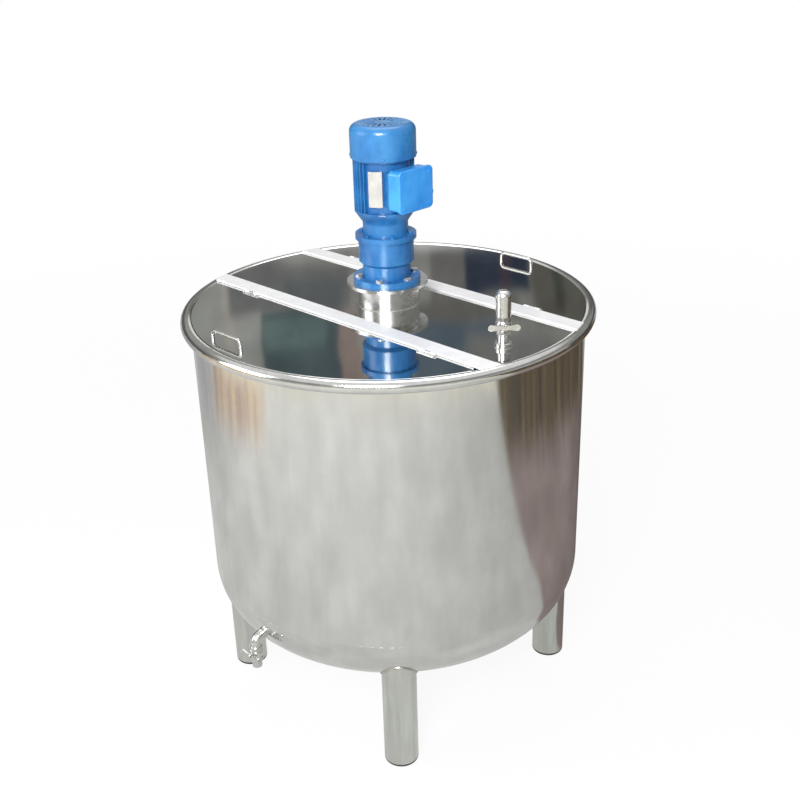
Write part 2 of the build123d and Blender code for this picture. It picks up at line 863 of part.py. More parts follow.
drain_place = Pos(0, drain_y, drain_valve_z) * Rot(0, 0, -90)
inlet_valve_z = bridge_top_z + inlet_nipple_height + valve_half_length
inlet_place = Pos(inlet_x, inlet_y, inlet_valve_z) * Rot(0, 0, inlet_turn)


def drain_elbow():
    """Bent pipe from the vessel wall, turned down to the valve."""
    start = (0, -shell_radius + knuckle_radius, drain_pipe_z)
    corner = (0, drain_y, drain_pipe_z)
    end = (0, drain_y, drain_valve_z + valve_half_length)
    path = FilletPolyline(start, corner, end, radius=drain_bend_radius)
    section = Plane(origin=start, z_dir=(0, -1, 0))
    pipe = sweep(section * Circle(pipe_radius), path=path)
    pipe -= sweep(section * Circle(pipe_radius - pipe_wall), path=path)
    return pipe - vessel_outside


def inlet_nipple():
    """Short pipe with a collar on the bridge."""
    bore = pipe_radius - pipe_wall
    pipe = ring(pipe_radius, bore, bridge_top_z, bridge_top_z + inlet_nipple_height, inlet_x, inlet_y)
    collar = ring(inlet_collar_radius, bore, bridge_top_z, bridge_top_z + inlet_collar_height, inlet_x, inlet_y)
    return pipe + chamfer(collar.edges().group_by(Axis.Z)[-1].sort_by(SortBy.LENGTH)[-1], inlet_collar_chamfer)


def inlet_riser():
    low = inlet_valve_z + valve_half_length
    return ring(inlet_riser_radius, inlet_riser_radius - pipe_wall, low, low + inlet_riser_height, inlet_x, inlet_y)


def inlet_cap():
    """Domed cap whose plug sits in the riser."""
    top = inlet_valve_z + valve_half_length + inlet_riser_height
    cap = disc(inlet_cap_radius, top, top + inlet_cap_height)
    cap = fillet(cap.edges().sort_by(Axis.Z)[-1], inlet_cap_round)
    cap += disc(inlet_riser_radius - pipe_wall, top - inlet_cap_overlap, top)
    return Pos(inlet_x, inlet_y, 0) * cap


# All nodes

leg_places = around(leg_count, leg_circle_radius, 45.0)
output_bearing_low = base_z + seal_width

parts = {
    "tank_wall": tank_wall(),
    "tank_bottom": tank_bottom(),
    "rim_roll": rim_roll(),
    "feet": [foot(place) for place in leg_places],
    "bridge_plate": bridge_plate(),
    "front_rail": rail(-1),
    "back_rail": rail(1),
    "rail_hinge_leaves": [place * fixed_hinge_leaf() for side in (-1, 1) for place in hinge_places(side)],
    "hinge_pins": [place * hinge_pin() for side in (-1, 1) for place in hinge_places(side)],
    "front_lid": lid(-1),
    "back_lid": lid(1),
    "front_lid_leaves": [place * moving_hinge_leaf() for place in hinge_places(-1)],
    "back_lid_leaves": [place * moving_hinge_leaf() for place in hinge_places(1)],
    "front_handle": lid_handle(-1, front_handle_x),
    "back_handle": lid_handle(1, back_handle_x),
    "motor_stand": motor_stand(),
    "stand_plate": stand_plate(),
    "mount_bolts": mount_bolts(),
    "gearbox_base": gearbox_base(),
    "gearbox_case": gearbox_case(),
    "motor_adapter": motor_adapter(),
    "case_bolts": case_bolts(),
    "oil_seal": ring(output_bearing_radius, output_shaft_radius, base_z, output_bearing_low),
    "output_bearings": [
        bearing(output_bearing_radius, output_shaft_radius, output_bearing_low + offset, output_bearing_width)
        for offset in (0, output_bearing_width + output_bearing_spacing)
    ],
    "layshaft_bearings": [
        bearing(layshaft_bearing_radius, layshaft_radius, low, layshaft_bearing_width, -gear_centre_distance)
        for low in (case_z - layshaft_bearing_width, adapter_z)
    ],
    "motor_bearings": [
        bearing(motor_bearing_radius, journal_radius, low, motor_bearing_width)
        for low in (adapter_neck_z, upper_motor_bearing_z)
    ],
    "lower_end_shield": lower_end_shield(),
    "motor_frame": motor_frame(),
    "stator_core": stator_core(),
    "upper_end_shield": upper_end_shield(),
    "fan_cover": fan_cover(),
    "terminal_box": terminal_box(),
    "terminal_lid": terminal_lid(),
    "box_screws": box_screws(),
    "cable_gland": cable_gland(),
    "rating_plate": rating_plate(),
    "output_shaft": output_shaft(),
    "output_wheel": output_wheel(),
    "shaft_coupling": shaft_coupling(),
    "agitator_shaft": agitator_shaft(),
    "lower_impeller": impeller(lower_impeller_z, 0.0),
    "upper_impeller": impeller(upper_impeller_z, 180.0 / blade_count),
    "motor_shaft": motor_shaft(),
    "rotor_core": rotor_core(),
    "cooling_fan": cooling_fan(),
    "layshaft": layshaft(),
    "drain_elbow": drain_elbow(),
    "drain_valve_body": drain_place * valve_body(True),
    "drain_ball": drain_place * valve_ball(),
    "drain_handle": drain_place * valve_handle(),
    "inlet_nipple": inlet_nipple(),
    "inlet_valve_body": inlet_place * valve_body(False),
    "inlet_ball": inlet_place * valve_ball(),
    "inlet_handle": inlet_place * valve_handle(),
    "inlet_riser": inlet_riser(),
    "inlet_cap": inlet_cap(),
}
for number, place in enumerate(leg_places, 1):
    parts[f"leg_{number}"] = leg(place)

os.makedirs("parts", exist_ok=True)
for name, shape in parts.items():
    solids = shape if isinstance(shape, list) else [shape]
    export_step(Compound(children=[solid for piece in solids for solid in piece.solids()]), f"parts/{name}.step")
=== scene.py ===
import json
import math

import bmesh
import bpy
from mathutils import Matrix, Vector


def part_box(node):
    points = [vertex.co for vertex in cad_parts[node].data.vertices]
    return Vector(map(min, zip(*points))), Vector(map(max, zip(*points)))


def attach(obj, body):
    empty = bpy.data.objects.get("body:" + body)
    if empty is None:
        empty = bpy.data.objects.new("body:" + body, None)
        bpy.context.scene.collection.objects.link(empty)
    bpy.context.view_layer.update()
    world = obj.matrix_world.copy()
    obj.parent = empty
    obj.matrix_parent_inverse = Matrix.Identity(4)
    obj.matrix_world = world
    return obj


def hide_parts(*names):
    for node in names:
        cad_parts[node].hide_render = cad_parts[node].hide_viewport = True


# Mixing tank: metres, +Z up, the same frame as the solids.
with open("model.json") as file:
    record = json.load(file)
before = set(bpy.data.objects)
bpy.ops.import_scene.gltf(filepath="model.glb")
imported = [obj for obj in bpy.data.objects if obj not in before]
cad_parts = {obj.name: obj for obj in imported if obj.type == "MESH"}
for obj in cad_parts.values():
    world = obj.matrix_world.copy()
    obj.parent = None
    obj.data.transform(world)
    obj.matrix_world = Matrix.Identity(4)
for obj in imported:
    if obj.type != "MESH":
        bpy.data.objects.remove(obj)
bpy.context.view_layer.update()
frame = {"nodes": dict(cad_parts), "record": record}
print("frame loaded,", len(frame["nodes"]), "nodes")


# Node helpers

def put(tree, kind, inputs=None, **settings):
    # A new node: its settings first, then its inputs, each linked or set.
    node = tree.nodes.new(kind)
    for key, value in settings.items():
        setattr(node, key, value)
    for key, value in (inputs or {}).items():
        if isinstance(value, bpy.types.NodeSocket):
            tree.links.new(value, node.inputs[key])
        else:
            node.inputs[key].default_value = value
    return node


def get(tree, kind, inputs=None, **settings):
    # The first output of a new node.
    return put(tree, kind, inputs, **settings).outputs[0]


socketKinds = {float: "NodeSocketFloat", int: "NodeSocketInt", tuple: "NodeSocketVector",
               type(None): "NodeSocketMaterial"}


def newTree(name, kind, inputs, output, outputKind):
    # A node group with one output; each input takes its kind from its first value.
    tree = bpy.data.node_groups.new(name, kind)
    for label, value in inputs.items():
        socket = tree.interface.new_socket(label, in_out="INPUT", socket_type=socketKinds[type(value)])
        if value is not None:
            socket.default_value = value
    tree.interface.new_socket(output, in_out="OUTPUT", socket_type=outputKind)
    return tree, tree.nodes.new("NodeGroupInput").outputs, tree.nodes.new("NodeGroupOutput").inputs


def emptyTree(owner):
    # The cleared node tree of a material or a world.
    owner.use_nodes = True
    owner.node_tree.nodes.clear()
    return owner.node_tree


def ramp(tree, value, stops):
    # Stops are (place, grey) or (place, colour).
    node = put(tree, "ShaderNodeValToRGB", {"Fac": value})
    elements = node.color_ramp.elements
    while len(elements) < len(stops):
        elements.new(0.5)
    for element, (place, shade) in zip(elements, stops):
        element.position = place
        element.color = (shade, shade, shade, 1) if isinstance(shade, float) else (*shade, 1)
    return node.outputs["Color"]


def mixColour(tree, mask, first, second, blend="MIX"):
    node = put(tree, "ShaderNodeMix", data_type="RGBA", blend_type=blend)
    for index, value in ((0, mask), (6, first), (7, second)):  # factor, colour A, colour B
        if isinstance(value, bpy.types.NodeSocket):
            tree.links.new(value, node.inputs[index])
        else:
            node.inputs[index].default_value = value if index == 0 else (*value, 1)
    return node.outputs[2]


def calc(tree, operation, first, second=0.0, clamp=False):
    return get(tree, "ShaderNodeMath", {0: first, 1: second}, operation=operation, use_clamp=clamp)


def plus(tree, first, second, clamp=False):
    return calc(tree, "ADD", first, second, clamp)


def minus(tree, first, second):
    return calc(tree, "SUBTRACT", first, second)


def times(tree, first, second):
    return calc(tree, "MULTIPLY", first, second)


def xyz(tree, x=0.0, y=0.0, z=0.0):
    return get(tree, "ShaderNodeCombineXYZ", {0: x, 1: y, 2: z})


def split(tree, vector):
    return put(tree, "ShaderNodeSeparateXYZ", {0: vector}).outputs


def length(tree, vector):
    return put(tree, "ShaderNodeVectorMath", {0: vector}, operation="LENGTH").outputs["Value"]


def scaledBy(tree, vector, amount):
    return get(tree, "ShaderNodeVectorMath", {0: vector, "Scale": amount}, operation="SCALE")


def noise(tree, vector, scale, detail, roughness=0.5):
    return get(tree, "ShaderNodeTexNoise", {
        "Vector": vector, "Scale": scale, "Detail": detail, "Roughness": roughness})


noiseMiddle = 0.5
origin = (0.0, 0.0, 0.0)


def swing(tree, level, amount):
    # How far a noise is from its middle level, times the amount.
    return times(tree, minus(tree, level, noiseMiddle), amount)


# Shared effects

grainLook = {"detail": 5.0, "roughness": 0.6}


def buildStretchedGrain():
    # Noise stretched by its own scale on each axis: rolled sheet, brushing, drips.
    tree, given, result = newTree("stretchedGrain", "ShaderNodeTree", {
        "Vector": origin, "Across": 40.0, "Along": 2.0, "Contrast": 1.6}, "Grain", "NodeSocketFloat")
    x, y, z = split(tree, given["Vector"])
    stretched = xyz(tree, times(tree, x, given["Across"]), times(tree, y, given["Across"]),
                    times(tree, z, given["Along"]))
    level = noise(tree, stretched, 1.0, grainLook["detail"], grainLook["roughness"])
    spread = swing(tree, level, given["Contrast"])
    tree.links.new(plus(tree, spread, noiseMiddle, clamp=True), result["Grain"])
    return tree


marksLook = {"cloudDetail": 3.0, "clear": 0.38, "full": 0.66, "finer": 14.0, "fineDetail": 4.0}


def buildHandlingMarks():
    # Soft cloudy patches with a finer speckle inside them: wiped, handled metal and paint.
    tree, given, result = newTree("handlingMarks", "ShaderNodeTree", {
        "Vector": origin, "Size": 5.0, "Speckle": 0.3}, "Mask", "NodeSocketFloat")
    cloud = noise(tree, given["Vector"], given["Size"], marksLook["cloudDetail"])
    cloudMask = ramp(tree, cloud, ((marksLook["clear"], 0.0), (marksLook["full"], 1.0)))
    fineScale = times(tree, given["Size"], marksLook["finer"])
    fine = noise(tree, given["Vector"], fineScale, marksLook["fineDetail"])
    total = plus(tree, cloudMask, swing(tree, fine, given["Speckle"]))
    tree.links.new(calc(tree, "MAXIMUM", total, 0.0, clamp=True), result["Mask"])
    return tree


rippleLook = {"waveDetail": 1.0, "fineDetail": 2.0, "distance": 0.01}


def buildSurfaceRipple():
    # Normal of a sheet that is a little wavy, with fine texture on top.
    tree, given, result = newTree("surfaceRipple", "ShaderNodeTree", {
        "Vector": origin, "Wave": 4.0, "WaveHeight": 0.3, "Fine": 300.0, "FineHeight": 0.02},
        "Normal", "NodeSocketVector")
    wave = noise(tree, given["Vector"], given["Wave"], rippleLook["waveDetail"])
    fine = noise(tree, given["Vector"], given["Fine"], rippleLook["fineDetail"])
    height = plus(tree, times(tree, wave, given["WaveHeight"]), times(tree, fine, given["FineHeight"]))
    bump = get(tree, "ShaderNodeBump", {
        "Strength": 1.0, "Distance": rippleLook["distance"], "Height": height})
    tree.links.new(bump, result["Normal"])
    return tree


stretchedGrain = buildStretchedGrain()
handlingMarks = buildHandlingMarks()
surfaceRipple = buildSurfaceRipple()


def useGroup(tree, group, inputs):
    return get(tree, "ShaderNodeGroup", inputs, node_tree=group)


def newMaterial(name, look):
    # A material with Object coordinates ready; look holds the plain values of its own shader.
    material = bpy.data.materials.new(name)
    tree = emptyTree(material)
    shader = put(tree, "ShaderNodeBsdfPrincipled", look)
    output = put(tree, "ShaderNodeOutputMaterial")
    tree.links.new(shader.outputs[0], output.inputs["Surface"])
    place = put(tree, "ShaderNodeTexCoord").outputs["Object"]
    return material, tree, shader, place


# Finishes

def makeSteel(name, values):
    # Stainless sheet: tone drifts in patches, fine grain, wavy reflections.
    material, tree, shader, place = newMaterial(name, {"Metallic": values["metallic"]})
    grain = useGroup(tree, stretchedGrain, {
        "Vector": place, "Across": values["across"], "Along": values["along"],
        "Contrast": values["contrast"]})
    marks = useGroup(tree, handlingMarks, {
        "Vector": place, "Size": values["patch"], "Speckle": values["speckle"]})
    tone = mixColour(tree, grain, values["dark"], values["light"])
    tone = mixColour(tree, times(tree, marks, values["markDepth"]), tone, values["markTone"])
    tree.links.new(tone, shader.inputs["Base Color"])
    rough = plus(tree, times(tree, grain, values["roughSpread"]), values["rough"])
    rough = plus(tree, rough, times(tree, marks, values["markRough"]))
    tree.links.new(rough, shader.inputs["Roughness"])
    squeezed = get(tree, "ShaderNodeMapping", {"Vector": place, "Scale": values["waveShape"]})
    normal = useGroup(tree, surfaceRipple, {
        "Vector": squeezed, "Wave": values["wave"], "WaveHeight": values["waveHeight"],
        "Fine": values["fine"], "FineHeight": values["fineHeight"]})
    tree.links.new(normal, shader.inputs["Normal"])
    return material


evenWave = (1.0, 1.0, 1.0)
steelLook = {
    "metallic": 1.0, "dark": (0.67, 0.67, 0.655), "light": (0.80, 0.80, 0.785),
    "across": 20.0, "along": 4.0, "contrast": 1.8,  # across is in x and y, along is in z
    "markTone": (0.63, 0.625, 0.60), "markDepth": 0.45, "markRough": 0.05, "patch": 9.0, "speckle": 0.35,
    "rough": 0.07, "roughSpread": 0.06,
    "waveShape": (1.0, 1.0, 0.30), "wave": 6.0, "waveHeight": 0.10, "fine": 260.0, "fineHeight": 0.003,
}
wallSteel = makeSteel("tankSteelPolished", steelLook)
legSteel = makeSteel("legSteelPolished", {
    **steelLook, "dark": (0.55, 0.56, 0.53), "light": (0.82, 0.83, 0.80), "across": 60.0, "wave": 14.0,
    "waveHeight": 0.03})
lidSteel = makeSteel("lidSteelMirror", {
    **steelLook, "dark": (0.60, 0.60, 0.59), "light": (0.70, 0.70, 0.68), "markTone": (0.55, 0.55, 0.54),
    "along": 24.0, "across": 6.0, "rough": 0.03, "roughSpread": 0.02, "markRough": 0.015,
    "waveShape": evenWave, "wave": 2.2, "waveHeight": 0.07, "fineHeight": 0.0006, "patch": 2.2})
rimSteel = makeSteel("rimSteelBuffed", {
    **steelLook, "dark": (0.70, 0.70, 0.68), "light": (0.88, 0.88, 0.86), "across": 50.0, "along": 50.0,
    "rough": 0.06, "roughSpread": 0.08, "waveShape": evenWave, "wave": 12.0, "waveHeight": 0.02})
railSteel = makeSteel("railSteelSatin", {
    **steelLook, "metallic": 0.30, "dark": (0.80, 0.80, 0.81), "light": (0.90, 0.90, 0.90),
    "markTone": (0.70, 0.70, 0.71), "markDepth": 0.35, "rough": 0.42, "roughSpread": 0.08,
    "across": 30.0, "along": 30.0, "waveShape": evenWave, "wave": 8.0, "waveHeight": 0.02,
    "fineHeight": 0.006})
castSteel = makeSteel("castSteelBright", {
    **steelLook, "dark": (0.58, 0.58, 0.57), "light": (0.80, 0.80, 0.79), "rough": 0.22, "across": 90.0,
    "along": 90.0, "patch": 20.0, "wave": 40.0, "waveHeight": 0.01, "waveShape": evenWave,
    "fine": 700.0, "fineHeight": 0.006})
handleSteel = makeSteel("handleSteelWorn", {
    **steelLook, "dark": (0.40, 0.40, 0.39), "light": (0.58, 0.58, 0.56), "rough": 0.26, "across": 60.0,
    "along": 60.0, "patch": 20.0, "waveHeight": 0.0, "waveShape": evenWave})
shaftSteel = makeSteel("shaftSteelGround", {
    **steelLook, "dark": (0.48, 0.48, 0.48), "light": (0.66, 0.66, 0.66), "rough": 0.20, "across": 5.0,
    "along": 300.0, "waveHeight": 0.0})
weldSteel = makeSteel("weldSteelBead", {
    **steelLook, "dark": (0.50, 0.50, 0.47), "light": (0.74, 0.74, 0.72), "markTone": (0.52, 0.44, 0.34),
    "rough": 0.26, "across": 120.0, "along": 120.0, "patch": 16.0, "wave": 90.0, "waveHeight": 0.01,
    "waveShape": evenWave})
boltSteel = makeSteel("boltZinc", {
    **steelLook, "dark": (0.55, 0.56, 0.58), "light": (0.74, 0.75, 0.77), "rough": 0.25, "across": 150.0,
    "along": 150.0, "patch": 40.0, "waveHeight": 0.0, "fine": 900.0, "fineHeight": 0.004})
ironGrey = makeSteel("gearIron", {
    **steelLook, "metallic": 0.8, "dark": (0.16, 0.16, 0.16), "light": (0.30, 0.30, 0.30),
    "markTone": (0.20, 0.17, 0.14), "rough": 0.38, "across": 90.0, "along": 90.0, "waveHeight": 0.0})


def makeEnamel(name, values):
    # Sprayed gloss enamel: orange peel, tone drift and dust that settles in soft patches.
    material, tree, shader, place = newMaterial(name, {
        "Coat Roughness": values["coatRough"], "IOR": values["ior"]})
    drift = useGroup(tree, handlingMarks, {
        "Vector": place, "Size": values["driftSize"], "Speckle": values["speckle"]})
    dust = useGroup(tree, stretchedGrain, {
        "Vector": place, "Across": values["dustAcross"], "Along": values["dustAlong"],
        "Contrast": values["dustContrast"]})
    tone = mixColour(tree, drift, values["deep"], values["bright"])
    tone = mixColour(tree, times(tree, dust, values["dust"]), tone, values["dustTone"])
    tree.links.new(tone, shader.inputs["Base Color"])
    rough = plus(tree, times(tree, dust, values["dustRough"]), values["rough"])
    tree.links.new(rough, shader.inputs["Roughness"])
    turned = put(tree, "ShaderNodeLayerWeight", {"Blend": values["edgeBlend"]}).outputs["Facing"]
    gloss = minus(tree, 1.0, ramp(tree, turned, values["dullEdge"]))
    coat = times(tree, minus(tree, 1.0, dust), values["coat"])
    tree.links.new(times(tree, coat, gloss), shader.inputs["Coat Weight"])
    normal = useGroup(tree, surfaceRipple, {
        "Vector": place, "Wave": values["peel"], "WaveHeight": values["peelHeight"],
        "Fine": values["fine"], "FineHeight": values["fineHeight"]})
    tree.links.new(normal, shader.inputs["Normal"])
    return material


enamelLook = {
    "deep": (0.006, 0.098, 0.31), "bright": (0.018, 0.175, 0.44), "driftSize": 14.0, "speckle": 0.15,
    "dust": 0.14, "dustTone": (0.16, 0.34, 0.66), "dustAcross": 55.0, "dustAlong": 16.0,
    "dustContrast": 2.4, "rough": 0.22, "dustRough": 0.16, "coat": 0.8, "coatRough": 0.12, "ior": 1.5,
    "edgeBlend": 0.5, "dullEdge": ((0.12, 0.0), (0.60, 0.95)),  # less gloss where the paint turns away
    "peel": 220.0, "peelHeight": 0.008, "fine": 900.0, "fineHeight": 0.003,
}
blueEnamel = makeEnamel("blueEnamel", enamelLook)
coverEnamel = makeEnamel("blueEnamelCover", {
    **enamelLook, "deep": (0.012, 0.135, 0.38), "bright": (0.028, 0.215, 0.49)})
# The terminal box, its lid and its screws: a lighter copy of the motor's blue. The extra lightness is
# painted light that stands for the light on the box's front face.
boxEnamelPaintedLight = makeEnamel("blueEnamelBoxPaintedLight", {
    **enamelLook, "deep": (0.020, 0.250, 0.72), "bright": (0.045, 0.350, 0.84)})


def makeMoulded(name, values):
    # Rubber, plastic, varnished winding or a matt plate: two tones, fine grain, low gloss.
    material, tree, shader, place = newMaterial(name, {"Metallic": 0.0})
    marks = useGroup(tree, handlingMarks, {
        "Vector": place, "Size": values["size"], "Speckle": values["speckle"]})
    tree.links.new(mixColour(tree, marks, values["dark"], values["light"]), shader.inputs["Base Color"])
    rough = plus(tree, times(tree, marks, values["markRough"]), values["rough"])
    tree.links.new(rough, shader.inputs["Roughness"])
    normal = useGroup(tree, surfaceRipple, {
        "Vector": place, "Wave": values["wave"], "WaveHeight": values["waveHeight"],
        "Fine": values["fine"], "FineHeight": values["grain"]})
    tree.links.new(normal, shader.inputs["Normal"])
    return material


mouldedLook = {"speckle": 0.6, "markRough": 0.15, "wave": 60.0, "waveHeight": 0.004, "fine": 1200.0}
blackRubber = makeMoulded("rubberBlack", {
    **mouldedLook, "dark": (0.018, 0.018, 0.020), "light": (0.040, 0.040, 0.042), "size": 18.0,
    "rough": 0.62, "grain": 0.012})
blackPlastic = makeMoulded("plasticBlack", {
    **mouldedLook, "dark": (0.020, 0.022, 0.026), "light": (0.045, 0.048, 0.055), "size": 40.0,
    "rough": 0.42, "grain": 0.006})
windingVarnish = makeMoulded("windingVarnish", {
    **mouldedLook, "dark": (0.16, 0.06, 0.025), "light": (0.30, 0.13, 0.05), "size": 60.0,
    "rough": 0.35, "grain": 0.02})
plateWhite = makeMoulded("ratingPlateBare", {
    **mouldedLook, "dark": (0.45, 0.44, 0.41), "light": (0.55, 0.54, 0.51), "size": 30.0,
    "rough": 0.34, "grain": 0.003})
print("finishes ready")


# Pieces taken from the solids, merged and smoothed

skinLook = {"merge": 2e-5, "flatWithin": 0.3, "crease": 35.0, "bevelSteps": 2, "bevelAngle": 40.0}


def camelName(node):
    words = node.split("_")
    return words[0] + "".join(word.capitalize() for word in words[1:])


def dressNode(node, material, body, bevel=0.0):
    # A smooth copy of a solid in place of its loose triangles, with soft edges where bevel is given.
    mesh = frame["nodes"][node].data.copy()
    mesh.name = camelName(node) + "Mesh"
    if "custom_normal" in mesh.attributes:
        mesh.attributes.remove(mesh.attributes["custom_normal"])
    work = bmesh.new()
    work.from_mesh(mesh)
    bmesh.ops.remove_doubles(work, verts=work.verts, dist=skinLook["merge"])
    if bevel:
        bmesh.ops.dissolve_limit(work, angle_limit=math.radians(skinLook["flatWithin"]), verts=work.verts,
                                 edges=work.edges)
    for face in work.faces:
        face.smooth = True
    for edge in work.edges:
        edge.smooth = edge.is_manifold and edge.calc_face_angle(0.0) < math.radians(skinLook["crease"])
    work.to_mesh(mesh)
    work.free()
    piece = bpy.data.objects.new(camelName(node) + "Skin", mesh)
    bpy.context.scene.collection.objects.link(piece)
    mesh.materials.clear()
    mesh.materials.append(material)
    if bevel:
        soften = piece.modifiers.new("softEdges", "BEVEL")
        soften.width = bevel
        soften.segments = skinLook["bevelSteps"]
        soften.limit_method = "ANGLE"
        soften.angle_limit = math.radians(skinLook["bevelAngle"])
        soften.harden_normals = True
    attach(piece, body)
    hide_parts(node)


def bodyOf(node):
    for body, members in frame["record"]["behaviour"]["bodies"].items():
        if node in members:
            return body


finishOf = {
    "tank_wall": wallSteel, "tank_bottom": wallSteel, "rim_roll": rimSteel,
    "leg_1": legSteel, "leg_2": legSteel, "leg_3": legSteel, "leg_4": legSteel, "feet": blackRubber,
    "bridge_plate": lidSteel, "front_lid": lidSteel, "back_lid": lidSteel,
    "front_rail": railSteel, "back_rail": railSteel, "rail_hinge_leaves": railSteel,
    "front_lid_leaves": castSteel, "back_lid_leaves": castSteel, "hinge_pins": shaftSteel,
    "front_handle": handleSteel, "back_handle": castSteel,
    "motor_stand": castSteel, "stand_plate": castSteel, "mount_bolts": boltSteel,
    "case_bolts": blueEnamel, "gearbox_base": blueEnamel, "gearbox_case": blueEnamel,
    "motor_adapter": blueEnamel, "lower_end_shield": blueEnamel, "motor_frame": blueEnamel,
    "upper_end_shield": blueEnamel, "fan_cover": coverEnamel,
    # the terminal box takes the lighter copy of the blue, with its painted light
    "terminal_box": boxEnamelPaintedLight, "terminal_lid": boxEnamelPaintedLight, "box_screws": boxEnamelPaintedLight,
    "cable_gland": blackPlastic, "rating_plate": plateWhite, "oil_seal": blackRubber,
    "output_bearings": shaftSteel, "layshaft_bearings": shaftSteel, "motor_bearings": shaftSteel,
    "output_shaft": shaftSteel, "output_wheel": ironGrey, "layshaft": ironGrey, "rotor_core": ironGrey,
    "motor_shaft": shaftSteel, "cooling_fan": blackPlastic, "stator_core": windingVarnish,
    "shaft_coupling": shaftSteel, "agitator_shaft": castSteel,
    "lower_impeller": castSteel, "upper_impeller": castSteel,
    "drain_elbow": castSteel, "drain_valve_body": castSteel, "drain_ball": shaftSteel,
    "drain_handle": castSteel, "inlet_nipple": castSteel, "inlet_valve_body": castSteel,
    "inlet_ball": shaftSteel, "inlet_handle": castSteel, "inlet_riser": castSteel, "inlet_cap": castSteel,
}
plainNodes = ("hinge_pins", "drain_ball", "inlet_ball", "output_bearings", "layshaft_bearings",
              "motor_bearings", "stator_core", "rotor_core", "oil_seal")  # small or hidden: repainted only
edgeSoftness = {"terminal_box": 0.0012, "front_rail": 0.0012, "back_rail": 0.0012, "drain_handle": 0.0008,
                "inlet_handle": 0.0008}

for node, finish in finishOf.items():
    if node in plainNodes:
        for slot in frame["nodes"][node].material_slots:
            slot.material = finish
    else:
        dressNode(node, finish, bodyOf(node), edgeSoftness.get(node, 0.0))
print("solids dressed")


# Small repeated pieces, built with geometry nodes

def newShapeTree(name, inputs):
    return newTree(name, "GeometryNodeTree", {"Material": None, **inputs}, "Geometry", "NodeSocketGeometry")


def closeTree(tree, given, result, shape, smooth=True):
    # Every tree ends the same way: real faces, smooth or flat, one material.
    solid = get(tree, "GeometryNodeRealizeInstances", {"Geometry": shape})
    shaded = get(tree, "GeometryNodeSetShadeSmooth", {"Geometry": solid, "Shade Smooth": smooth})
    painted = get(tree, "GeometryNodeSetMaterial", {"Geometry": shaded, "Material": given["Material"]})
    tree.links.new(painted, result["Geometry"])
    return tree


def circle(tree, steps, radius):
    return get(tree, "GeometryNodeCurvePrimitiveCircle", {"Resolution": steps, "Radius": radius})


def sweep(tree, path, section):
    return get(tree, "GeometryNodeCurveToMesh", {"Curve": path, "Profile Curve": section})


headSteps = {"round": 20, "up": 12}


def buildHeadsOnRound():
    # Rows of low round heads standing on an upright cylinder: rivets of a plate, screws of a cover.
    tree, given, result = newShapeTree("headsOnRound", {
        "Around": 2, "Up": 2, "Middle Angle": 0.0, "Angle Span": 0.5, "Low": 0.0, "High": 0.1,
        "Round Radius": 0.07, "Head Radius": 0.003, "Head Height": 0.0015})
    grid = get(tree, "GeometryNodeMeshGrid", {
        "Size X": given["Angle Span"], "Size Y": minus(tree, given["High"], given["Low"]),
        "Vertices X": given["Around"], "Vertices Y": given["Up"]})
    flat = split(tree, get(tree, "GeometryNodeInputPosition"))
    angle = plus(tree, flat[0], given["Middle Angle"])
    middle = times(tree, plus(tree, given["High"], given["Low"]), 0.5)
    outward = xyz(tree, calc(tree, "COSINE", angle), calc(tree, "SINE", angle))
    place = get(tree, "ShaderNodeVectorMath", {
        0: scaledBy(tree, outward, given["Round Radius"]), 1: xyz(tree, z=plus(tree, flat[1], middle))},
        operation="ADD")
    turned = put(tree, "GeometryNodeCaptureAttribute", {"Geometry": grid})
    turned.capture_items.new("VECTOR", "Outward")
    tree.links.new(outward, turned.inputs["Outward"])
    points = get(tree, "GeometryNodeSetPosition", {
        "Geometry": turned.outputs["Geometry"], "Position": place})
    ball = get(tree, "GeometryNodeMeshUVSphere", {
        "Segments": headSteps["round"], "Rings": headSteps["up"], "Radius": 1.0})
    size = xyz(tree, given["Head Radius"], given["Head Radius"], given["Head Height"])
    head = get(tree, "GeometryNodeTransform", {"Geometry": ball, "Scale": size})
    facing = get(tree, "FunctionNodeAlignRotationToVector", {"Vector": turned.outputs["Outward"]}, axis="Z")
    heads = get(tree, "GeometryNodeInstanceOnPoints", {
        "Points": points, "Instance": head, "Rotation": facing})
    return closeTree(tree, given, result, heads)


washerSteps = 40


def buildRingOfWashers():
    # Flat washers spaced evenly round a circle, all lying level.
    tree, given, result = newShapeTree("ringOfWashers", {
        "Count": 6, "Ring Radius": 0.068, "Height": 1.0, "Washer Radius": 0.009, "Width": 0.004,
        "Thickness": 0.001, "Turn": 0.0})
    spots = get(tree, "GeometryNodeMeshCircle", {
        "Vertices": given["Count"], "Radius": given["Ring Radius"]})
    spots = get(tree, "GeometryNodeTransform", {
        "Geometry": spots, "Translation": xyz(tree, z=given["Height"]),
        "Rotation": xyz(tree, z=given["Turn"])})
    section = get(tree, "GeometryNodeCurvePrimitiveQuadrilateral", {
        "Width": given["Width"], "Height": given["Thickness"]})
    washer = sweep(tree, circle(tree, washerSteps, given["Washer Radius"]), section)
    washers = get(tree, "GeometryNodeInstanceOnPoints", {"Points": spots, "Instance": washer})
    return closeTree(tree, given, result, washers, smooth=False)


beadLook = {"lumps": 420.0, "lumpDetail": 1.0, "swell": 4.0}  # swell is a multiple of the bead's radius


def rippled(tree, given, bead):
    # Small swells along a weld bead, pushed out along its own surface.
    lumps = get(tree, "ShaderNodeTexNoise", {
        "Scale": beadLook["lumps"], "Detail": beadLook["lumpDetail"], "W": given["Seed"]},
        noise_dimensions="4D")
    most = times(tree, given["Bead Radius"], beadLook["swell"])
    amount = times(tree, swing(tree, lumps, given["Ripple"]), most)
    push = scaledBy(tree, get(tree, "GeometryNodeInputNormal"), amount)
    return get(tree, "GeometryNodeSetPosition", {"Geometry": bead, "Offset": push})


ringSteps = {"path": 200, "section": 12}


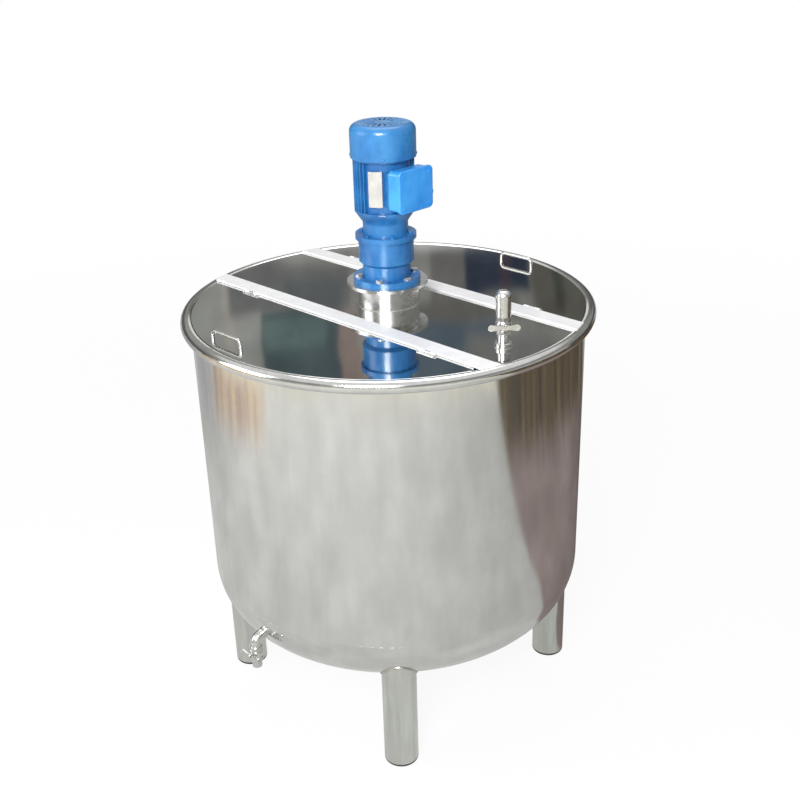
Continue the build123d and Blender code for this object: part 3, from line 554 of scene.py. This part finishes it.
def buildWeldRing():
    # A level weld bead round an upright tube that stands on a plate.
    tree, given, result = newShapeTree("weldRing", {
        "Centre": origin, "Tube Radius": 0.076, "Bead Radius": 0.002, "Ripple": 0.14, "Seed": 5.0})
    ring = get(tree, "GeometryNodeTransform", {
        "Geometry": circle(tree, ringSteps["path"], given["Tube Radius"]), "Translation": given["Centre"]})
    bead = sweep(tree, ring, circle(tree, ringSteps["section"], given["Bead Radius"]))
    return closeTree(tree, given, result, rippled(tree, given, bead))


legSteps = {"path": 240, "section": 14}


def buildLegWelds():
    # A weld bead round the top of each tube leg. Its height follows the dished bottom:
    # the crown of the dish inside the blend circle, the rounded knuckle outside it.
    tree, given, result = newShapeTree("legWelds", {
        "Legs": 4, "Leg Circle": 0.416, "Leg Radius": 0.042, "Bead Radius": 0.0028, "Knuckle Radius": 0.146,
        "Knuckle Centre": 0.33, "Knuckle Height": 0.374, "Crown Radius": 0.9, "Crown Height": 1.05,
        "Blend Circle": 0.39, "Sink": 0.001, "Ripple": 0.14, "Seed": 3.0})
    ring = get(tree, "GeometryNodeTransform", {
        "Geometry": circle(tree, legSteps["path"], given["Leg Radius"]),
        "Translation": xyz(tree, given["Leg Circle"])})
    spot = split(tree, get(tree, "GeometryNodeInputPosition"))
    reach = length(tree, xyz(tree, spot[0], spot[1]))

    def dishHeight(centre, radius, level):
        across = calc(tree, "POWER", minus(tree, reach, centre), 2.0)
        drop = calc(tree, "SQRT", minus(tree, calc(tree, "POWER", radius, 2.0), across))
        return minus(tree, level, drop)

    crown = dishHeight(0.0, given["Crown Radius"], given["Crown Height"])
    knuckle = dishHeight(given["Knuckle Centre"], given["Knuckle Radius"], given["Knuckle Height"])
    outside = calc(tree, "GREATER_THAN", reach, given["Blend Circle"])
    height = get(tree, "GeometryNodeSwitch", {
        "Switch": outside, "False": crown, "True": knuckle}, input_type="FLOAT")
    height = minus(tree, height, given["Sink"])
    path = get(tree, "GeometryNodeSetPosition", {
        "Geometry": ring, "Position": xyz(tree, spot[0], spot[1], height)})
    bead = sweep(tree, path, circle(tree, legSteps["section"], given["Bead Radius"]))
    spots = get(tree, "GeometryNodeMeshLine", {"Count": given["Legs"], "Offset": origin})
    step = calc(tree, "DIVIDE", math.tau, given["Legs"])
    turn = times(tree, plus(tree, get(tree, "GeometryNodeInputIndex"), 0.5), step)
    welds = get(tree, "GeometryNodeInstanceOnPoints", {
        "Points": spots, "Instance": rippled(tree, given, bead), "Rotation": xyz(tree, z=turn)})
    return closeTree(tree, given, result, welds)


def growPiece(name, tree, values, body):
    # Runs a tree once and keeps the result as a plain mesh riding on its body.
    source = bpy.data.objects.new(name + "Source", bpy.data.meshes.new(name + "Seed"))
    bpy.context.scene.collection.objects.link(source)
    modifier = source.modifiers.new("grow", "NODES")
    modifier.node_group = tree
    for item in tree.interface.items_tree:
        if item.in_out == "INPUT" and item.name in values:
            modifier[item.identifier] = values[item.name]
    evaluated = source.evaluated_get(bpy.context.evaluated_depsgraph_get())
    grown = bpy.data.meshes.new_from_object(evaluated)
    grown.name = name + "Mesh"
    source.modifiers.remove(modifier)
    bpy.data.objects.remove(source)
    piece = bpy.data.objects.new(name, grown)
    bpy.context.scene.collection.objects.link(piece)
    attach(piece, body)


# What the welds, washers, rivets and screws sit on, read from the solids

def corners(node):
    # The lowest and the highest corner of a solid.
    return [Vector(corner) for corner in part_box(node)]


def tidied(value):
    # Rounded to a tenth of a millimetre.
    return round(value, 4)


legLow, legHigh = corners("leg_1")
dishHigh = corners("tank_bottom")[1]
dish = {"knuckle": 0.146, "crown": 0.9}  # outside radii of the dished bottom
knuckleCentre = tidied(dishHigh.x - dish["knuckle"])
crownReach = dish["crown"] - dish["knuckle"]
crownHeight = dishHigh.z + math.sqrt(crownReach ** 2 - knuckleCentre ** 2)
growPiece("legWelds", buildLegWelds(), {
    "Material": weldSteel, "Bead Radius": 0.0028, "Ripple": 0.14, "Seed": 3.0,
    "Leg Circle": tidied(((legLow + legHigh) / 2).xy.length),
    "Leg Radius": tidied((legHigh.x - legLow.x) / 2),
    "Knuckle Radius": dish["knuckle"], "Knuckle Centre": knuckleCentre,
    "Knuckle Height": tidied(dishHigh.z),
    "Crown Radius": dish["crown"], "Crown Height": tidied(crownHeight),
    "Blend Circle": tidied(dish["crown"] * knuckleCentre / crownReach)}, "vessel")

standLow, standHigh = corners("motor_stand")
nippleLow, nippleHigh = corners("inlet_nipple")
nippleRadius = (nippleHigh.y - nippleLow.y) / 2
seat = {"lift": 0.0002, "drop": 0.0003, "standGap": 0.0004, "nippleGap": 0.0002}
standRadius = tidied(standHigh.x + seat["standGap"])
weldRings = {
    "standFootWeld": {"Centre": (0.0, 0.0, tidied(standLow.z + seat["lift"])), "Tube Radius": standRadius,
                      "Bead Radius": 0.0022, "Seed": 5.0},
    "standTopWeld": {"Centre": (0.0, 0.0, tidied(standHigh.z - seat["drop"])), "Tube Radius": standRadius,
                     "Bead Radius": 0.0018, "Seed": 7.0},
    "inletFootWeld": {"Centre": (tidied(nippleHigh.x - nippleRadius), tidied(nippleLow.y + nippleRadius),
                                 tidied(nippleLow.z + seat["lift"])),
                      "Tube Radius": tidied(nippleRadius + seat["nippleGap"]),
                      "Bead Radius": 0.0013, "Seed": 9.0},
}
weldRing = buildWeldRing()
for ringName, ringValues in weldRings.items():
    growPiece(ringName, weldRing, {"Material": weldSteel, **ringValues}, "vessel")

gearLow = corners("gearbox_base")[0]
washer = {"flange": 0.012, "ring": 0.068, "radius": 0.0092, "width": 0.0026, "thickness": 0.0012}
growPiece("mountWashers", buildRingOfWashers(), {
    "Material": boltSteel, "Count": 6, "Ring Radius": washer["ring"], "Washer Radius": washer["radius"],
    "Width": washer["width"], "Thickness": washer["thickness"], "Turn": 0.0,
    "Height": tidied(gearLow.z + washer["flange"] + washer["thickness"] / 2)}, "vessel")

headsOnRound = buildHeadsOnRound()
ratingLow, ratingHigh = corners("rating_plate")
rivet = {"inset": 0.005, "radius": 0.0017, "height": 0.0008, "reach": 0.0705, "middle": -62.0, "span": 22.0}
growPiece("plateRivets", headsOnRound, {
    "Material": boltSteel, "Around": 2, "Up": 2, "Middle Angle": math.radians(rivet["middle"]),
    "Angle Span": math.radians(rivet["span"]), "Low": tidied(ratingLow.z + rivet["inset"]),
    "High": tidied(ratingHigh.z - rivet["inset"]), "Round Radius": rivet["reach"],
    "Head Radius": rivet["radius"], "Head Height": rivet["height"]}, "vessel")

coverLow, coverHigh = corners("fan_cover")
screw = {"lift": 0.0055, "radius": 0.0035, "height": 0.0018, "span": 270.0}
screwLevel = tidied(coverLow.z + screw["lift"])
growPiece("coverScrews", headsOnRound, {
    "Material": coverEnamel, "Around": 4, "Up": 1, "Middle Angle": 0.0,
    "Angle Span": math.radians(screw["span"]), "Low": screwLevel, "High": screwLevel,
    "Round Radius": tidied(coverHigh.x), "Head Radius": screw["radius"],
    "Head Height": screw["height"]}, "vessel")
print("welds, washers, rivets and screws grown")


# Stage, light and camera

floorLook = {
    "size": 60.0, "level": -0.0005, "plain": (0.86, 0.86, 0.86, 1), "mirrorShare": 0.93,
    "whiteShare": 0.91, "whiteFrom": 0.8, "whiteTo": 4.5,  # how white the camera sees it, near and far out
    "cloudSize": 2.3, "cloudDetail": 6.0, "cloudRough": 0.62,
    "streakCount": 26.0, "streakDetail": 3.0, "streakRough": 0.7, "streakRagged": 0.9,
    "paleFrom": -2.3, "paleTo": 0.6, "paleNear": (0.88, 0.885, 0.86), "paleFar": (0.50, 0.505, 0.485),
    "paleClouds": ((0.32, 0.84), (0.68, 1.12)),
    "shadeFrom": -1.3, "shadeTo": -2.4, "shadeDepth": 0.40,
    "wayInner": 0.93, "wayEdge": 0.03,  # the blush and the violet start at this cosine off their way
    "blushWay": (-0.72, -0.69, 0.0), "blushFrom": 1.95, "blushFull": 2.35,
    "blush": ((0.42, (0.26, 0.15, 0.09)), (0.465, (0.94, 0.60, 0.46)), (0.52, (0.95, 0.84, 0.52)),
              (0.56, (0.50, 0.36, 0.33))),
    "violetWay": (-1.0, -0.02, 0.0), "violetFrom": 1.75, "violetFull": 2.25,
    "violet": ((0.42, (0.12, 0.11, 0.14)), (0.48, (0.46, 0.45, 0.47)), (0.54, (0.62, 0.61, 0.60))),
    "cream": (0.93, 0.88, 0.72), "creamFrom": 2.70, "creamFull": 3.2, "creamTo": 6.0, "creamEdge": 0.08,
    "creamWay": (0.71, -0.70, 0.0), "creamWayFrom": -0.5, "creamWayFull": -0.1,
    "warmFrom": 0.55, "warmEdge": 0.030, "warmRagged": 0.08, "warmClouds": ((0.3, 0.0), (0.7, 1.0)),
    "warmLow": (0.200, 0.150, 0.145), "warmHigh": (0.345, 0.275, 0.255),
    "dimFrom": 0.8, "dimTo": -0.2, "dimDepth": 0.65,
    "nearFrom": 0.85, "nearTo": 0.50, "nearReach": 0.24, "coverFrom": -0.75, "coverTo": -0.30,
    "goldFrom": 1.95, "goldEdge": 0.25,
    "gold": ((0.44, (0.012, 0.008, 0.005)), (0.49, (0.060, 0.045, 0.035)), (0.525, (0.34, 0.23, 0.08)),
             (0.55, (0.025, 0.014, 0.008))),
}
black = (0.0, 0.0, 0.0)
white = (1, 1, 1, 1)


def beyond(tree, value, limit, edge):
    # 0 below the limit and 1 above it, smooth over the edge; a negative edge turns it round.
    return get(tree, "ShaderNodeMapRange", {
        "Value": value, "From Min": limit - edge, "From Max": limit + edge},
        interpolation_type="SMOOTHSTEP")


def band(tree, value, low, high, edge):
    # 1 between low and high, fading to 0 over the edge.
    return times(tree, beyond(tree, value, low, edge), beyond(tree, value, high, -edge))


def fade(tree, value, start, end):
    # 0 at the start, 1 at the end, straight between them.
    return get(tree, "ShaderNodeMapRange", {"Value": value, "From Min": start, "From Max": end})


def fadeOf(tree, value, look, name, end):
    # The same, from a value of the look to another, such as paleFrom and paleTo.
    return fade(tree, value, look[name + "From"], look[name + end])


def dot(tree, vector, direction):
    node = put(tree, "ShaderNodeVectorMath", {0: vector, 1: direction}, operation="DOT_PRODUCT")
    return node.outputs["Value"]


def floorInMetal(tree, place):
    # What polished steel shows of the floor: pale towards the front and darker towards +Y, a warm brown
    # covering beyond a straight edge, gold streaks in it far out, and a blush far out on the other side.
    look = floorLook
    cloud = noise(tree, place, look["cloudSize"], look["cloudDetail"], look["cloudRough"])
    spot = split(tree, place)
    outward = get(tree, "ShaderNodeVectorMath", {0: place}, operation="NORMALIZE")
    streak = noise(tree, outward, look["streakCount"], look["streakDetail"], look["streakRough"])
    far = plus(tree, length(tree, place), swing(tree, streak, look["streakRagged"]))

    pale = mixColour(tree, fadeOf(tree, spot[1], look, "pale", "To"), look["paleNear"], look["paleFar"])
    pale = mixColour(tree, 1.0, pale, ramp(tree, cloud, look["paleClouds"]), blend="MULTIPLY")
    shade = times(tree, fadeOf(tree, spot[0], look, "shade", "To"), look["shadeDepth"])
    front = mixColour(tree, shade, pale, black)
    for tint in ("blush", "violet"):
        within = beyond(tree, dot(tree, outward, look[tint + "Way"]), look["wayInner"], look["wayEdge"])
        mask = times(tree, fadeOf(tree, far, look, tint, "Full"), within)
        front = mixColour(tree, mask, front, ramp(tree, streak, look[tint]))
    cream = times(tree, beyond(tree, far, look["creamFrom"], look["creamEdge"]),
                  fade(tree, far, look["creamTo"], look["creamFull"]))
    cream = times(tree, cream, fadeOf(tree, dot(tree, outward, look["creamWay"]), look, "creamWay", "Full"))
    front = mixColour(tree, cream, front, look["cream"])

    brown = mixColour(tree, ramp(tree, cloud, look["warmClouds"]), look["warmLow"], look["warmHigh"])
    dim = times(tree, fadeOf(tree, spot[0], look, "dim", "To"), look["dimDepth"])
    brown = mixColour(tree, dim, brown, black)
    golden = beyond(tree, far, look["goldFrom"], look["goldEdge"])
    covering = mixColour(tree, golden, brown, ramp(tree, streak, look["gold"]))
    near = times(tree, fadeOf(tree, spot[0], look, "near", "To"), look["nearReach"])
    side = plus(tree, plus(tree, spot[1], swing(tree, cloud, look["warmRagged"])), near)
    warm = beyond(tree, side, look["warmFrom"], look["warmEdge"])
    warm = times(tree, warm, fadeOf(tree, spot[0], look, "cover", "To"))
    return mixColour(tree, warm, front, covering)


def mixShaders(tree, share, first, second):
    return get(tree, "ShaderNodeMixShader", {0: share, 1: first, 2: second})


def makeFloor():
    mesh = bpy.data.meshes.new("floorMesh")
    half, level = floorLook["size"] / 2, floorLook["level"]
    points = [(-half, -half, level), (half, -half, level), (half, half, level), (-half, half, level)]
    mesh.from_pydata(points, [], [(0, 1, 2, 3)])
    floor = bpy.data.objects.new("studioFloor", mesh)
    bpy.context.scene.collection.objects.link(floor)
    material = bpy.data.materials.new("studioFloorPaint")
    tree = emptyTree(material)
    place = put(tree, "ShaderNodeTexCoord").outputs["Object"]
    mirrored = floorInMetal(tree, place)
    path = put(tree, "ShaderNodeLightPath").outputs
    plain = get(tree, "ShaderNodeBsdfDiffuse", {"Color": floorLook["plain"]})
    glow = get(tree, "ShaderNodeEmission", {"Color": white, "Strength": 1.0})
    shown = get(tree, "ShaderNodeEmission", {"Color": mirrored, "Strength": 1.0})
    clean = fadeOf(tree, length(tree, place), floorLook, "white", "To")
    clean = plus(tree, times(tree, clean, 1.0 - floorLook["whiteShare"]), floorLook["whiteShare"])
    seen = mixShaders(tree, times(tree, path["Is Camera Ray"], clean), plain, glow)
    inMetal = calc(tree, "MAXIMUM", path["Is Glossy Ray"], path["Is Transmission Ray"])
    result = mixShaders(tree, times(tree, inMetal, floorLook["mirrorShare"]), seen, shown)
    tree.links.new(result, put(tree, "ShaderNodeOutputMaterial").inputs["Surface"])
    mesh.materials.append(material)


# The room that level steel mirrors, by direction: across runs to the right of the view, height is upwards.
skyLook = {
    "fill": 0.34, "across": (0.707, 0.707, 0.0), "away": (-0.707, 0.707, 0.0), "upwards": (0.0, 0.0, 1.0),
    "aheadFrom": 0.2, "aheadEdge": 0.1,
    "bends": 9.0, "bendDetail": 3.0, "bendDepth": 0.030,
    "mottles": 30.0, "mottleDetail": 6.0, "mottleRough": 0.7, "mottleTones": ((0.34, 0.66), (0.66, 1.0)),
}
roomLevels = ((0.0, (0.55, 0.55, 0.54)), (0.16, (0.55, 0.55, 0.54)), (0.25, (0.34, 0.34, 0.32)),
              (0.50, (0.34, 0.34, 0.32)), (0.66, (0.95, 0.95, 0.96)))
roomPatches = (
    {"across": (-0.600, -0.120), "height": (0.302, 0.60), "edge": 0.004, "colour": (0.40, 0.41, 0.39)},
    {"across": (-0.155, -0.146), "height": (0.302, 0.60), "edge": 0.004, "colour": (0.50, 0.48, 0.43)},
    {"across": (-0.120, -0.046), "height": (0.343, 0.60), "edge": 0.002, "colour": (0.100, 0.135, 0.150)},
    {"across": (-0.119, -0.062), "height": (0.350, 0.374), "edge": 0.004, "colour": (0.170, 0.245, 0.240)},
    {"across": (-0.150, -0.040), "height": (0.303, 0.341), "edge": 0.003, "colour": (0.20, 0.205, 0.205)},
    {"across": (-0.098, -0.050), "height": (0.318, 0.341), "edge": 0.004, "colour": (0.150, 0.165, 0.175)},
    {"across": (-0.052, -0.034), "height": (0.345, 0.60), "edge": 0.002, "colour": (0.34, 0.27, 0.245)},
    {"across": (0.010, 0.095), "height": (0.352, 0.60), "edge": 0.004, "colour": (0.130, 0.170, 0.210)},
    {"across": (0.060, 0.150), "height": (0.366, 0.60), "edge": 0.006, "colour": (0.230, 0.235, 0.225)},
    {"across": (0.028, 0.060), "height": (0.292, 0.335), "edge": 0.003, "colour": (0.20, 0.195, 0.19)},
    {"across": (0.060, 0.122), "height": (0.285, 0.332), "edge": 0.003, "colour": (0.040, 0.056, 0.090)},
    {"across": (0.095, 0.106), "height": (0.285, 0.332), "edge": 0.003, "colour": (0.072, 0.062, 0.086)},
    {"across": (0.122, 0.400), "height": (0.200, 0.352), "edge": 0.004, "colour": (0.150, 0.145, 0.125)},
    {"across": (0.140, 0.148), "height": (0.300, 0.345), "edge": 0.002, "colour": (0.080, 0.085, 0.075)},
    {"across": (-0.010, 0.110), "height": (0.335, 0.352), "edge": 0.003, "colour": (0.18, 0.175, 0.16)},
    {"across": (-0.160, 0.110), "height": (-0.20, 0.290), "edge": 0.004, "colour": (0.95, 0.95, 0.95)},
    {"across": (-0.950, -0.180), "height": (-0.20, 0.296), "edge": 0.012, "colour": (0.13, 0.14, 0.13)},
    {"across": (0.180, 0.950), "height": (-0.20, 0.200), "edge": 0.012, "colour": (0.10, 0.10, 0.11)},
)


def roomInMetal(tree, way):
    # Broad levels from the floor line up, with patches ahead of the camera, bent and mottled a little.
    shift = swing(tree, noise(tree, way, skyLook["bends"], skyLook["bendDetail"]), skyLook["bendDepth"])
    height = plus(tree, dot(tree, way, skyLook["upwards"]), shift)
    across = plus(tree, dot(tree, way, skyLook["across"]), shift)
    room = ramp(tree, height, roomLevels)
    ahead = beyond(tree, dot(tree, way, skyLook["away"]), skyLook["aheadFrom"], skyLook["aheadEdge"])
    for patch in roomPatches:
        mask = times(tree, band(tree, across, *patch["across"], patch["edge"]),
                     band(tree, height, *patch["height"], patch["edge"]))
        room = mixColour(tree, times(tree, mask, ahead), room, patch["colour"])
    mottle = noise(tree, way, skyLook["mottles"], skyLook["mottleDetail"], skyLook["mottleRough"])
    return mixColour(tree, 1.0, room, ramp(tree, mottle, skyLook["mottleTones"]), blend="MULTIPLY")


def makeSky():
    world = bpy.data.worlds.new("studioSky")
    bpy.context.scene.world = world
    tree = emptyTree(world)
    room = roomInMetal(tree, put(tree, "ShaderNodeTexCoord").outputs["Generated"])
    path = put(tree, "ShaderNodeLightPath").outputs
    fill = get(tree, "ShaderNodeBackground", {"Color": white, "Strength": skyLook["fill"]})
    plain = get(tree, "ShaderNodeBackground", {"Color": white, "Strength": 1.0})
    mirrored = get(tree, "ShaderNodeBackground", {"Color": room, "Strength": 1.0})
    inMetal = calc(tree, "MAXIMUM", path["Is Glossy Ray"], path["Is Transmission Ray"])
    seen = mixShaders(tree, path["Is Camera Ray"], fill, plain)
    result = mixShaders(tree, inMetal, seen, mirrored)
    tree.links.new(result, put(tree, "ShaderNodeOutputWorld").inputs["Surface"])


lampLook = {
    "keyLamp": {"place": (2.2, -3.3, 3.1), "aim": (0, 0, 1.1), "size": 1.6, "watts": 235.0},
    "sideLamp": {"place": (-2.4, -3.6, 2.4), "aim": (0, 0, 0.8), "size": 2.4, "watts": 60.0},
    "topLamp": {"place": (-0.8, 0.9, 4.6), "aim": (0, 0, 0.9), "size": 2.6, "watts": 50.0},
}


def makeLamps():
    for name, values in lampLook.items():
        light = bpy.data.lights.new(name, "AREA")
        light.shape = "SQUARE"
        light.size = values["size"]
        light.energy = values["watts"]
        lamp = bpy.data.objects.new(name, light)
        place = Vector(values["place"])
        lamp.location = place
        lamp.rotation_euler = (Vector(values["aim"]) - place).to_track_quat("-Z", "Y").to_euler()
        bpy.context.scene.collection.objects.link(lamp)


cameraLook = {"place": (1.831, -1.799, 1.963), "turn": 45.5, "yaw": 0.48, "pitch": 24.73, "roll": -1.71,
              "focalPixels": 1117.0, "imagePixels": 800.0, "sensor": 36.0}


def makeCamera():
    yaw, pitch, roll = (math.radians(cameraLook[key]) for key in ("yaw", "pitch", "roll"))
    forward = Vector((math.sin(yaw) * math.cos(pitch), math.cos(yaw) * math.cos(pitch), -math.sin(pitch)))
    right = Vector((math.cos(yaw), -math.sin(yaw), 0))
    up = right.cross(forward)
    leanRight = right * math.cos(roll) + up * math.sin(roll)
    leanUp = up * math.cos(roll) - right * math.sin(roll)
    turn = Matrix.Rotation(math.radians(cameraLook["turn"]), 3, "Z")
    axes = Matrix([turn @ leanRight, turn @ leanUp, turn @ -forward]).transposed()
    data = bpy.data.cameras.new("photoCamera")
    data.sensor_width = cameraLook["sensor"]
    data.lens = cameraLook["focalPixels"] / cameraLook["imagePixels"] * cameraLook["sensor"]
    camera = bpy.data.objects.new("photoCamera", data)
    camera.matrix_world = Matrix.Translation(cameraLook["place"]) @ axes.to_4x4()
    bpy.context.scene.collection.objects.link(camera)
    bpy.context.scene.camera = camera


makeFloor()
makeSky()
makeLamps()
makeCamera()
bpy.context.scene.view_settings.view_transform = "Standard"
print("stage, light and camera ready")
